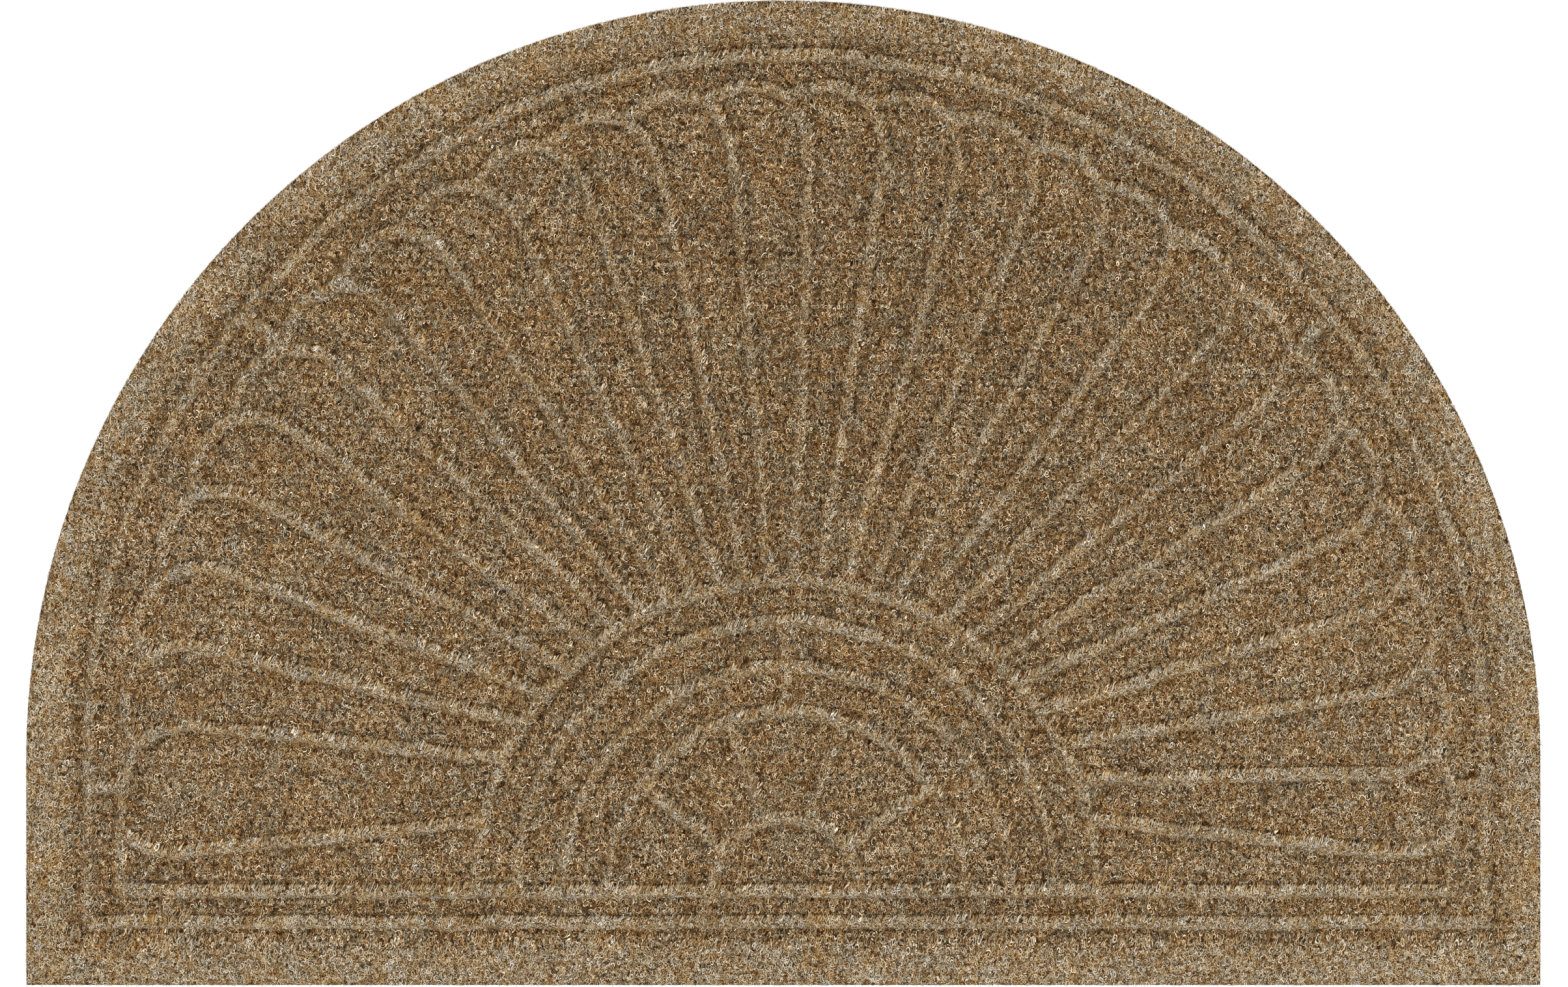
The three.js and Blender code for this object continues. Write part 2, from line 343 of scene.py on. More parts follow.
class Relief:
    """The height of the carpet over its plan, kept on a fine square chart of the mat."""

    step = 0.8
    margin = 6.0

    # Where the lighter rim and the dark foot of its slope lie, by inset, and how wide they are. The
    # dark foot is painted shade.
    open_rim = (11, 20.5)
    slope_foot = (28.5, 2.6)

    # The same for the darker middle, as a bell, and for the lighter front corners, as a step.
    middle_x = (0, 270)
    middle_y = (395, 210)
    corner_x = (120, 220)
    corner_y = (420, 250)
    corner_loss = 0.6

    # A cord's flat crown, its side and where its groove lies, as shares of half its width.
    crown_share = 0.32
    side_share = 0.72
    groove_share = 1.12

    # The least share of their height that the needle rows keep, and what is left on the rim.
    row_least = 0.45
    row_rim = 0.5

    # How wide the rounding of the cut edge is, and how far it drops.
    edge_width = 2.2
    edge_drop = 0.7

    # How much lighter or darker than the open field each part is. The slope's darker foot and the
    # darker valleys between rows are painted shade.
    rim_light = 0.87
    slope_dark = 0.06
    row_light = 0.09
    middle_dark = 0.12
    corner_light = 0.12
    right_light = 0.06

    def __init__(self, sizes):
        self.sizes = sizes
        self.xs = np.arange(-ARCH_RADIUS - self.margin, ARCH_RADIUS + self.margin, self.step)
        self.ys = np.arange(-self.margin, MAT_DEPTH / MM + self.margin, self.step)
        self.x, self.y = np.meshgrid(self.xs, self.ys)
        self.inset = inset_from(PRESSED_CENTRE, PRESSED_SHIFT[1], self.x, self.y)
        self.cords, self.level = self.cord_distance()
        self.away = np.gradient(self.cords, self.step, axis=0)
        # How much of a thin line of painted shadow shows, on the side of each cord that lies towards
        # the arch.
        self.shadow_lines = bell(self.cords, SHADOW_LINE_DISTANCE, 0.5) * np.clip(self.away, 0, 1) ** 3
        self.chart = self.heights()
        self.tone_chart = self.tones()

    def cord_distance(self):
        """Distance to the nearest cord's centre line, charted by one window a segment.

        The plan is first swayed by slow noise, so that no cord runs quite true. How far the segment
        runs along x, from 0 to 1, is charted with it.
        """
        swayed_x = self.x + soft_noise(self.x, self.y, *CORD_SWAY_X)
        swayed_y = self.y + soft_noise(self.x, self.y, *CORD_SWAY_Y)
        chart = np.full_like(self.x, CORD_REACH)
        level = np.zeros_like(chart)
        for line in cord_lines():
            for a, b in zip(line[:-1], line[1:]):
                low = np.minimum(a, b) - CORD_REACH
                high = np.maximum(a, b) + CORD_REACH
                i = slice(*np.searchsorted(self.xs, (low[0], high[0])))
                j = slice(*np.searchsorted(self.ys, (low[1], high[1])))
                x = swayed_x[j, i]
                y = swayed_y[j, i]
                along = b - a
                square = max(along @ along, 1e-9)
                t = np.clip(((x - a[0]) * along[0] + (y - a[1]) * along[1]) / square, 0, 1)
                away = np.hypot(x - a[0] - t * along[0], y - a[1] - t * along[1])
                level[j, i] = np.where(away < chart[j, i], abs(along[0]) / square**0.5, level[j, i])
                chart[j, i] = np.minimum(chart[j, i], away)
        return chart, level

    def heights(self):
        """Height in millimetres.

        The field, and over it the greater of the rim's slope and the cords' rounded backs. A groove
        runs along each cord's foot. Needle rows are a cosine of y over their pitch, swayed and
        faded by slow noise. Two sizes of lumps are added everywhere, and the cut edge is rounded.
        """
        sizes, x, y = self.sizes, self.x, self.y
        relief = sizes.relief / MM
        rim = 1 - eased((self.inset - sizes.rim_width / MM) / (sizes.rim_slope / MM))
        half = sizes.cord_width / MM / 2
        distance = self.cords + soft_noise(x, y, *RAGGED_SIDES)
        cords = 1 - eased((distance - self.crown_share * half) / (self.side_share * half))
        groove = bell(distance, self.groove_share * half, 1.0)
        height = MAT_HEIGHT / MM - relief + relief * np.maximum(rim, cords)
        height -= sizes.groove_depth / MM * groove * (1 - rim)
        rows = np.cos(2 * np.pi * (y + soft_noise(x, y, *ROW_SWAY)) / (sizes.row_pitch / MM))
        clear = eased((soft_noise(x, y, *ROW_FADING) + 0.9) / 1.2)
        clear = self.row_least + (1 - self.row_least) * clear
        self.rows = rows * clear * (1 - self.row_rim * rim)
        height += 0.5 * sizes.row_height / MM * self.rows
        height += soft_noise(x, y, *COARSE_LUMPS) + soft_noise(x, y, *FINE_LUMPS)
        inset = inset_from(ARCH_CENTRE, 0, x, y)
        return height - self.edge_drop * (1 - eased(inset / self.edge_width))

    def tones(self):
        """How light the carpet is beside the open field, which is 1, before its cords are counted.

        Fibres on the rim stand open and look lighter, and the foot of its slope is darker with painted
        shade: an eased step and a bell curve of the inset. The valleys between needle rows are a
        little darker than their tops, as painted shade. The carpet is slowly darker round the middle,
        as a wide bell, and lighter towards the front corners, more so on the right and less so on the
        rim.
        """
        x, y = self.x, self.y
        rim = 1 - eased((self.inset - self.open_rim[0]) / self.open_rim[1])
        middle = bell(x, *self.middle_x) * bell(y, *self.middle_y)
        corners = eased((abs(x) - self.corner_x[0]) / self.corner_x[1])
        corners = corners * eased((self.corner_y[0] - y) / self.corner_y[1])
        corners = corners * (1 - self.corner_loss * rim)
        slow = 1 - self.middle_dark * middle
        slow += corners * (self.corner_light + self.right_light * x / ARCH_RADIUS)
        # The rim is lighter where its fibres stand open; the slope's darker foot is painted shade.
        pressed_and_shading = 1 + self.rim_light * rim - self.slope_dark * bell(self.inset, *self.slope_foot)
        # The rows' darker valleys are painted shade.
        return pressed_and_shading * (1 + self.row_light * self.rows) * slow

    def sample(self, chart, x, y):
        """A chart read between its points, by bilinear blending."""
        u = np.clip((x - self.xs[0]) / self.step, 0, len(self.xs) - 1.001)
        v = np.clip((y - self.ys[0]) / self.step, 0, len(self.ys) - 1.001)
        return blend(chart, u, v)


def half_width(y):
    """Half the mat's width at a depth: the straight sides, then the circle of the arch."""
    above = np.clip(y - STRAIGHT_SIDE, 0, ARCH_RADIUS)
    return np.sqrt(ARCH_RADIUS**2 - above**2)


def mesh_of(name, points, faces, ring=None):
    """A smooth mesh from points in the plan's millimetres, rows of four corners and a closing ring."""
    mesh = bpy.data.meshes.new(name)
    placed = (points - [*MIDDLE, 0]) * MM
    corners = faces.ravel()
    starts = np.arange(len(faces)) * 4
    if ring is not None:
        starts = np.append(starts, len(corners))
        corners = np.concatenate([corners, ring])
    mesh.vertices.add(len(placed))
    mesh.vertices.foreach_set("co", placed.astype(np.float32).ravel())
    mesh.loops.add(len(corners))
    mesh.loops.foreach_set("vertex_index", corners.astype(np.int32))
    mesh.polygons.add(len(starts))
    mesh.polygons.foreach_set("loop_start", starts.astype(np.int32))
    mesh.polygons.foreach_set("use_smooth", np.ones(len(starts), bool))
    mesh.update(calc_edges=True)
    mesh.validate()
    return mesh


def add_piece(mesh, materials):
    """The mesh as an object of the mat, which rides with it and takes the carpet's finish."""
    piece = bpy.data.objects.new(mesh.name, mesh)
    bpy.context.scene.collection.objects.link(piece)
    for material in materials:
        mesh.materials.append(material)
    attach(piece, "root")
    return piece


def set_attribute(mesh, name, values):
    """Numbers or rows of three, one for each point of the mesh, for its material to read."""
    kind, field = ("FLOAT", "value") if values.ndim == 1 else ("FLOAT_VECTOR", "vector")
    layer = mesh.attributes.new(name, kind, "POINT")
    layer.data.foreach_set(field, values.astype(np.float32).ravel())


def set_pressing_and_shading(mesh, relief, x, y):
    """What the press did at each point of the mesh, with painted light and shade: its tone, and where
    it lies beside a cord.

    The tone is three factors, and lighter carpet is also greyer. The place is the distance to the
    nearest cord, the square of how level that cord runs, and on which side of it the point is.
    """
    over = relief.sample(relief.tone_chart, x, y) - 1
    set_attribute(mesh, "pressed_and_shading", 1 + over[:, None] * np.array(PRESSED_AND_SHADING_TINT))
    place = [relief.sample(chart, x, y) for chart in (relief.cords, relief.level**2, relief.away)]
    set_attribute(mesh, "cord", np.stack(place, axis=-1))


def set_map(mesh, places):
    """The mesh's own flat map, with a place for each corner."""
    layer = mesh.uv_layers.new(name="OFBake")
    layer.uv.foreach_set("vector", places.astype(np.float32).ravel())


def quads_between(first, second):
    """Quads from lines of point numbers to the lines beside them."""
    corners = [first[:, :-1], first[:, 1:], second[:, 1:], second[:, :-1]]
    return np.stack(corners, axis=-1).reshape(-1, 4)


def node(tree, kind, values=(), **settings):
    """A node with its settings, and with numbers, colours or links from sockets for its inputs."""
    made = tree.nodes.new(kind)
    for key, value in settings.items():
        setattr(made, key, value)
    for socket, value in dict(values).items():
        if isinstance(value, bpy.types.NodeSocket):
            tree.links.new(value, made.inputs[socket])
        else:
            made.inputs[socket].default_value = value
    return made


def calc(tree, operation, *values):
    """The result of a sum, product or other operation on numbers and sockets."""
    return node(tree, "ShaderNodeMath", enumerate(values), operation=operation).outputs[0]


def vector(tree, operation, first, second):
    """The result of an operation on two vectors, or of scaling the first by a number."""
    values = {0: first, "Scale" if operation == "SCALE" else 1: second}
    return node(tree, "ShaderNodeVectorMath", values, operation=operation).outputs[0]


def remap(tree, *values, kind="LINEAR"):
    """A number taken from one range to another, and held inside it."""
    values = zip(("Value", "From Min", "From Max", "To Min", "To Max"), values)
    return node(tree, "ShaderNodeMapRange", values, interpolation_type=kind).outputs[0]


def noise(tree, place, scale, detail, roughness=0.5):
    """The number and the colour of noise over the place, with its scale in waves a metre."""
    values = {"Vector": place, "Scale": scale, "Detail": detail, "Roughness": roughness}
    return node(tree, "ShaderNodeTexNoise", values).outputs


def attribute(tree, name, output="Fac"):
    """What the points of the mesh carry under that name."""
    return node(tree, "ShaderNodeAttribute", attribute_name=name).outputs[output]


def parts_of(tree, value):
    """The three numbers of a vector."""
    return node(tree, "ShaderNodeSeparateXYZ", {"Vector": value}).outputs


def rgba(colour):
    """A colour with full alpha."""
    return (*colour, 1.0)


def mixed(tree, share, low, high):
    """A colour between two others, by the colour sockets that follow the node's other kinds."""
    return node(tree, "ShaderNodeMix", {0: share, 6: low, 7: high}, data_type="RGBA").outputs[2]


def build_mottling(tree, given):
    """Noise at two sizes over the place, each spread from 0 to 1."""
    place = node(tree, "ShaderNodeTexCoord").outputs["Object"]
    result = {}
    for label in ("Patch", "Fleck"):
        scale = calc(tree, "DIVIDE", 1.0, given[label + " Size"])
        result[label] = remap(tree, noise(tree, place, scale, 2.0, 0.6)["Fac"], 0.3, 0.7, 0, 1)
    return result


# A cord's tone on the way out from its line: a number, and what is added where it runs level. The
# crown's lightness is partly the open fibres' own colour and partly painted light; the dark foot is
# painted shade.
CROWN_START = (0.9, 2.0)
CROWN_END = (5.0, -0.2)
CROWN_LIGHT = (0.83, 0.46)
FOOT_DARK = (0.19, 0.035)

# Where its foot of painted shade starts, how dark the thin line of painted shadow is, and between
# which distances that fades.
FOOT_START = 5.0
SHADOW_LINE_DARK = 0.26
SHADOW_LINE_SIDES = (0.25, 0.85)

# How far light fibres are held back from growing lighter, and the least excess that counts.
HOLD = 1.4
LEAST_EXCESS = (-0.12, -0.12, -0.12)


def cord_tone(tree):
    """How light the carpet is on a cord and beside it, as three factors.

    The crown is a plateau with eased sides, steep and bright on a cord that runs level and soft on
    one that stands: lighter partly by the open fibres' own colour and partly by painted light. Its
    foot is darker with painted shade and eases out over 7 mm. On the far side of a level cord a
    narrow line of painted shadow runs along it too, by the fourth power of how level it is.
    """
    distance, level, away = parts_of(tree, attribute(tree, "cord", "Vector"))

    def by_level(amounts):
        return calc(tree, "MULTIPLY_ADD", level, amounts[1], amounts[0])

    start, end = by_level(CROWN_START), by_level(CROWN_END)
    # The crown's lightness is partly the open fibres' own colour and partly painted light, more of it
    # on level cords.
    crown = remap(tree, distance, start, end, 1, 0, kind="SMOOTHSTEP")
    # The foot's darkening is painted shade.
    foot = remap(tree, distance, FOOT_START, CORD_REACH, 1, 0, kind="SMOOTHSTEP")
    foot = calc(tree, "MULTIPLY", foot, calc(tree, "SUBTRACT", 1.0, crown))
    foot = calc(tree, "MULTIPLY", foot, by_level(FOOT_DARK))
    over = calc(tree, "SUBTRACT", calc(tree, "MULTIPLY", crown, by_level(CROWN_LIGHT)), foot)
    # A thin line of painted shadow on the side of a level cord towards the arch.
    off = calc(tree, "ABSOLUTE", calc(tree, "SUBTRACT", distance, SHADOW_LINE_DISTANCE))
    shadow_line = remap(tree, off, *SHADOW_LINE_SIDES, SHADOW_LINE_DARK, 0, kind="SMOOTHSTEP")
    shadow_line = calc(tree, "MULTIPLY", shadow_line, calc(tree, "MAXIMUM", away, 0.0))
    shadow_line = calc(tree, "MULTIPLY", shadow_line, calc(tree, "POWER", level, 4.0))
    over = calc(tree, "SUBTRACT", over, shadow_line)
    return vector(tree, "ADD", vector(tree, "SCALE", PRESSED_AND_SHADING_TINT, over), WHITE)


def build_tone(tree, given):
    """The colour times its depth shade, the pressed tone with its painted light and shade, a slow
    patch, and a tint.

    The tint goes between orange and grey with noise at two sizes, and small rust spots lie over it.
    It colours dark fibres fully and the lightest ones hardly at all. The pressed tone, with its
    painted light and shade, too raises dark fibres more than light ones: colour times tone, over one
    plus the hold times the tone's excess over one times the colour.
    """
    pressed_and_shading = attribute(tree, "pressed_and_shading", "Vector")
    # The cords add painted light on their crowns, painted shade at their feet and a thin line of
    # painted shadow beside them.
    pressed_and_shading = vector(tree, "MULTIPLY", pressed_and_shading, cord_tone(tree))
    place = node(tree, "ShaderNodeTexCoord").outputs["Object"]
    scales = ((30.0, 3.0), (210.0, 0.5), (75.0, 1.0), (270.0, 1.0))
    slow, quick, middle, spots = (noise(tree, place, *scale)["Fac"] for scale in scales)
    # The depth input is painted shade towards a fibre's ends; the slow patch is the carpet's own
    # uneven tone.
    depth = calc(tree, "MULTIPLY", given["Depth"], remap(tree, slow, 0.3, 0.7, 0.785, 0.955))
    both = calc(tree, "ADD", quick, middle)
    tint = mixed(tree, remap(tree, both, 0.74, 1.26, 0, 1), rgba(ORANGE_TINT), rgba(GREY_TINT))
    tint = mixed(tree, remap(tree, spots, 0.58, 0.68, 0, 1), tint, rgba(RUST_TINT))
    bright = node(tree, "ShaderNodeRGBToBW", {"Color": given["Colour"]}).outputs[0]
    tint = mixed(tree, remap(tree, bright, 0.15, 0.75, 0, 0.85), tint, rgba(PALE_TINT))
    colour = vector(tree, "MULTIPLY", given["Colour"], tint)
    excess = vector(tree, "SUBTRACT", pressed_and_shading, WHITE)
    excess = vector(tree, "MAXIMUM", excess, LEAST_EXCESS)
    excess = vector(tree, "MULTIPLY", excess, colour)
    excess = vector(tree, "ADD", vector(tree, "SCALE", excess, HOLD), WHITE)
    colour = vector(tree, "MULTIPLY", colour, pressed_and_shading)
    colour = vector(tree, "DIVIDE", colour, excess)
    return {"Colour": vector(tree, "SCALE", colour, depth)}


def build_curls(tree, given):
    """Curled fibres as rings round random points.

    The place is drawn out along y, bent by noise and cut into cells, and the distance from a cell's
    point is cut into even steps, with a fibre in the middle of each. The first step starts at
    random in each cell. A step of a cell has one random tone, and noise wipes out part of it, so
    that it reads as an open curl. The place leans with its height, so that the upright cut edge
    has curls too and no streaks.
    """
    squeeze = (1.0, 0.72, 1.0)
    lean = (0.8, 1.3, 0.0)
    bend = 0.0016
    place = node(tree, "ShaderNodeTexCoord").outputs["Object"]
    leaning = vector(tree, "SCALE", lean, parts_of(tree, place)["Z"])
    place = vector(tree, "ADD", vector(tree, "MULTIPLY", place, squeeze), leaning)
    moved = vector(tree, "ADD", place, given["Seed"])
    scale = calc(tree, "DIVIDE", 1.0, given["Loop Size"])
    sway = vector(tree, "SUBTRACT", noise(tree, moved, scale, 1.0)["Color"], (0.5, 0.5, 0.5))
    bent = vector(tree, "ADD", moved, vector(tree, "SCALE", sway, bend))
    values = {"Vector": bent, "Scale": scale}
    cells = node(tree, "ShaderNodeTexVoronoi", values, voronoi_dimensions="2D").outputs
    apart = calc(tree, "MULTIPLY", cells["Distance"], given["Loop Size"])
    apart = calc(tree, "DIVIDE", apart, given["Spacing"])
    steps = calc(tree, "ADD", apart, parts_of(tree, cells["Color"])["X"])
    off = calc(tree, "SUBTRACT", calc(tree, "FRACT", steps), 0.5)
    band = remap(tree, calc(tree, "ABSOLUTE", off), 0.23, 0.13, 0, 1)
    values = {"X": calc(tree, "FLOOR", steps), "Y": given["Seed"]}
    key = node(tree, "ShaderNodeCombineXYZ", values).outputs[0]
    key = vector(tree, "ADD", key, cells["Color"])
    random = node(tree, "ShaderNodeTexWhiteNoise", {"Vector": key}, noise_dimensions="3D")
    wipe = noise(tree, bent, calc(tree, "MULTIPLY", scale, 1.5), 1.0)["Fac"]
    fibre = calc(tree, "MULTIPLY", band, remap(tree, wipe, 0.43, 0.48, 0, 1))
    return {"Fibre": fibre, "Tone": random.outputs["Value"]}


# Shared effects: what builds them, and their inputs with defaults.
EFFECTS = {
    "Fibre Mottling": (build_mottling, {"Patch Size": 0.03, "Fleck Size": 0.003}),
    "Carpet Tone": (build_tone, {"Colour": rgba(WHITE), "Depth": 1.0}),
    "Curled Fibres": (build_curls, {"Loop Size": 0.004, "Spacing": 0.001, "Seed": 0.0}),
}


def new_socket(group, label, way):
    """A socket of a node group: a colour where it is labelled so, or else a number."""
    kind = "NodeSocketColor" if label == "Colour" else "NodeSocketFloat"
    return group.interface.new_socket(label, in_out=way, socket_type=kind)


def effect(tree, name, values):
    """A shared effect placed in a material. Its node group is built when it is first asked for."""
    group = bpy.data.node_groups.get(name)
    if group is None:
        build, inputs = EFFECTS[name]
        group = bpy.data.node_groups.new(name, "ShaderNodeTree")
        for label, default in inputs.items():
            new_socket(group, label, "INPUT").default_value = default
        result = build(group, node(group, "NodeGroupInput").outputs)
        for label in result:
            new_socket(group, label, "OUTPUT")
        node(group, "NodeGroupOutput", result)
    return node(tree, "ShaderNodeGroup", values, node_tree=group).outputs


def new_material(name):
    """A material whose node tree is empty, and that tree."""
    material = bpy.data.materials.new(name)
    material.use_nodes = True
    material.node_tree.nodes.clear()
    return material, material.node_tree


def shade(tree, values):
    """Give a material its surface: a Principled shader with its inputs."""
    shader = node(tree, "ShaderNodeBsdfPrincipled", values)
    node(tree, "ShaderNodeOutputMaterial", {"Surface": shader.outputs[0]})


def mottling(tree, patch, fleck):
    """Slow patches and small flecks of the carpet's mixed fibres."""
    return effect(tree, "Fibre Mottling", {"Patch Size": patch, "Fleck Size": fleck})


def bump(tree, height, strength, distance):
    """A normal from a height."""
    values = {"Height": height, "Strength": strength, "Distance": distance}
    return node(tree, "ShaderNodeBump", values).outputs[0]


def fibre_material(name, dark, light):
    """Fibres of one colour: a tone for each fibre, and painted shade that darkens it towards its
    rooted ends, where it goes down into the pile.
    """
    material, tree = new_material(name)
    fleck = mottling(tree, 0.028, 0.0012)["Fleck"]
    share = calc(tree, "ADD", attribute(tree, "tone"), remap(tree, fleck, 0, 1, -0.15, 0.15))
    colour = mixed(tree, share, rgba(dark), rgba(light))
    # Painted shade: darker towards the fibre's ends, where it goes down into the pile.
    depth = remap(tree, attribute(tree, "root"), 0, 0.7, 0.5, 1)
    values = {
        "Base Color": effect(tree, "Carpet Tone", {"Colour": colour, "Depth": depth})["Colour"],
        "Roughness": remap(tree, fleck, 0, 1, 0.5, 0.7),
        "Specular IOR Level": 0.2,
    }
    shade(tree, values)
    return material


# The pile's colours in a row, from brown through tan and grey to cream, each with its place.
FIBRE_STOPS = {
    "brown_dark": 0.0,
    "brown_light": 0.30,
    "tan_dark": 0.48,
    "grey_dark": 0.62,
    "tan_light": 0.78,
    "grey_light": 0.88,
    "cream_light": 1.0,
}

# The ground's layers of curls from the lowest up: loop size, spacing, seed and lightness. The
# lightness is painted shade on the lower layers and painted light on the top one.
CURL_LAYERS = (
    (0.0034, 0.00085, 0.0, 0.25),
    (0.0031, 0.00090, 3.7, 0.5),
    (0.0029, 0.00095, 9.1, 0.9),
    (0.0028, 0.00100, 14.3, 1.4),
)


def fibre_ramp(tree, tone, colours):
    """The colour of the pile's row that a tone from 0 to 1 picks."""
    ramp = node(tree, "ShaderNodeValToRGB", {"Fac": tone})
    elements = ramp.color_ramp.elements
    while len(elements) < len(FIBRE_STOPS):
        elements.new(0.5)
    for element, (name, position) in zip(elements, FIBRE_STOPS.items()):
        element.position = position
        element.color = rgba(getattr(colours, name))
    return ramp.outputs["Color"]


def ground_material(colours):
    """The needled ground: layers of curls over dark gaps of painted shade, the upper ones lighter,
    also in bump: the lower layers get painted shade and the top one painted light.
    """
    material, tree = new_material("needled ground")
    # The ground starts from the gaps' painted shade.
    colour = rgba(colours.gap)
    height = 0.0
    for size, spacing, seed, lightness in CURL_LAYERS:
        values = {"Loop Size": size, "Spacing": spacing, "Seed": seed}
        curls = effect(tree, "Curled Fibres", values)
        # The same fibre colours, scaled darker for lower layers and lighter for the top one: painted
        # shade and painted light by depth.
        fibre = vector(tree, "SCALE", fibre_ramp(tree, curls["Tone"], colours), lightness)
        colour = mixed(tree, curls["Fibre"], colour, fibre)
        lift = calc(tree, "MULTIPLY", curls["Fibre"], lightness)
        height = calc(tree, "MAXIMUM", height, lift)
    values = {
        "Base Color": effect(tree, "Carpet Tone", {"Colour": colour})["Colour"],
        "Normal": bump(tree, height, 0.8, 0.0006),
        "Roughness": remap(tree, mottling(tree, 0.028, 0.0015)["Fleck"], 0, 1, 0.8, 0.95),
        "Specular IOR Level": 0.08,
    }
    shade(tree, values)
    return material


def base_material(colours):
    """The moulded base: dark, matt and finely pitted."""
    material, tree = new_material("moulded base")
    pits = mottling(tree, 0.02, 0.0008)
    light = tuple(1.8 * c for c in colours.base)
    values = {
        "Base Color": mixed(tree, pits["Fleck"], rgba(colours.base), rgba(light)),
        "Normal": bump(tree, pits["Fleck"], 0.5, 0.0002),
        "Roughness": remap(tree, pits["Patch"], 0, 1, 0.6, 0.8),
    }
    shade(tree, values)
    return material


# The ground's grid, how far it lies under the pile, and the gap it leaves at the arch's top.
GROUND_PITCH = 2.6
GROUND_COLUMNS = 356
GROUND_DROP = 0.35
TOP_GAP = 0.16

# The rings of the cut edge from the face down: share of its height, and how far in they lie.
EDGE_RINGS = ((0.8, 0.0), (0.5, 0.1), (0.22, 0.0), (0.06, 0.2), (0.0, 0.8))

# The ground's flat map: its margin, how far apart its edge rings lie, and the underside's place.
MAP_MARGIN = 15
MAP_RING = 2.4
MAP_BASE_PLACE = (0.3, 0.68)
MAP_BASE_SHARE = 0.4


def ground_rows():
    """Depths of the ground's rows: even steps, closer together where the arch runs almost level.

    Steps are counted by the greater of the depth gained and a third of the way along the outline.
    The last row stops just short of the top, where the mat still has a little width.
    """
    fine = np.linspace(0, STRAIGHT_SIDE + ARCH_RADIUS - TOP_GAP, 60001)
    along = np.hypot(np.diff(fine), np.diff(half_width(fine)))
    count = np.concatenate([[0], np.cumsum(np.maximum(np.diff(fine), along / 3))])
    steps = math.ceil(count[-1] / GROUND_PITCH)
    return np.interp(np.linspace(0, count[-1], steps + 1), count, fine)


def ground_points(relief):
    """The ground's upper face: x is a share of the mat's half width at each row's depth."""
    rows = ground_rows()[:, None]
    x = np.linspace(-1, 1, GROUND_COLUMNS + 1) * half_width(rows)
    y = np.broadcast_to(rows, x.shape)
    return np.stack([x, y, relief.sample(relief.chart, x, y) - GROUND_DROP], axis=-1)


class DOORMAT_OT_ground(bpy.types.Operator):
    """Make the carpet's ground, with its rim, cords and needle rows, its cut edge and its base"""

    bl_idname = "doormat.ground"
    bl_label = "Carpet Ground"

    def execute(self, context):
        scene = context.scene
        colours = scene.doormat_colours
        relief = Relief(scene.doormat_sizes)
        top = ground_points(relief)
        index = np.arange(top[..., 0].size).reshape(top.shape[:2])
        top = top.reshape(-1, 3)
        loop = np.concatenate([index[0, :-1], index[:-1, -1], index[-1, :0:-1], index[:0:-1, 0]])
        walls = []
        for share, inset in EDGE_RINGS:
            ring = top[loop]
            ring[:, 2] *= share
            ring[:, :2] = MIDDLE + (ring[:, :2] - MIDDLE) * (1 - inset / ARCH_RADIUS)
            walls.append(ring)
        points = np.concatenate([top, *walls])
        count = len(loop)
        rings = np.concatenate([loop, np.arange(len(top), len(points))]).reshape(-1, count)
        around = np.concatenate([rings, rings[:, :1]], axis=1)
        sides = quads_between(around[1:], around[:-1])
        faces = np.concatenate([quads_between(index[:-1], index[1:]), sides])
        under = rings[-1, ::-1]
        mesh = mesh_of("carpet_ground", points, faces, under)

        flat = points[:, :2].copy()
        for level, ring in enumerate(rings[1:], 1):
            flat[ring] = MIDDLE + (flat[loop] - MIDDLE) * (1 + MAP_RING * level / ARCH_RADIUS)
        wide = 2 * (ARCH_RADIUS + MAP_MARGIN)
        places = (flat + [wide / 2, MAP_MARGIN]) / wide
        mapped = places[np.concatenate([faces.ravel(), under])]
        mapped[-count:] = MAP_BASE_PLACE + MAP_BASE_SHARE * places[rings[0, ::-1]]
        set_map(mesh, mapped)
        set_pressing_and_shading(mesh, relief, points[:, 0], points[:, 1])

        # The lowest ring of the edge and the underside are the base.
        finish = np.zeros(len(faces) + 1, np.int32)
        finish[-1 - count :] = 1
        mesh.polygons.foreach_set("material_index", finish)
        piece = add_piece(mesh, [ground_material(colours), base_material(colours)])
        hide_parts("mat")
        return {"FINISHED"}


# Each colour of loops: seed, lowest and highest share of the full height, and pull into patches.
LOOP_KINDS = {
    "brown": (11, -0.15, 0.35, 0.5),
    "tan": (12, -0.05, 0.65, 0.7),
    "grey": (13, 0.0, 0.75, -0.7),
    "cream": (14, 0.1, 1.0, -0.2),
}
LOOP_STEPS = 4

# How far the loops are drawn to the tops of the rows, how few lie in a line of painted shadow, and the
# bare edge.
ROW_PULL = 0.128
SHADOW_LINE_THINNING = 0.6
BARE_EDGE = 1.0

# A fibre's width at its ends, as a share of the widest, and how high its middle arches up.
END_WIDTH = 0.45
LOOP_ARCH = 0.25


def scatter(count, rng, pitch, patch, relief):
    """Random places on the mat, drawn towards the needle rows and gathered in patches by noise.

    Few of them lie in the lines of painted shadow beside the cords, so that the dark ground shows
    there.
    """
    places = np.empty((0, 2))
    while len(places) < count:
        x = rng.uniform(-ARCH_RADIUS, ARCH_RADIUS, 2 * count)
        y = rng.uniform(0, MAT_DEPTH / MM, 2 * count)
        y = y - ROW_PULL * pitch * np.sin(2 * np.pi * y / pitch)
        gather = soft_noise(x, y, *SMALL_PATCHES) + soft_noise(x, y, *LARGE_PATCHES)
        # Fewer loops in the lines of painted shadow, so that the dark ground shows through there.
        wanted = (0.5 + patch * gather) * (1 - SHADOW_LINE_THINNING * relief.sample(relief.shadow_lines, x, y))
        inside = inset_from(ARCH_CENTRE, 0, x, y) > BARE_EDGE
        keep = inside & (rng.uniform(0, 1, 2 * count) < wanted)
        places = np.concatenate([places, np.stack([x, y], axis=-1)[keep]])
    return places[:count]


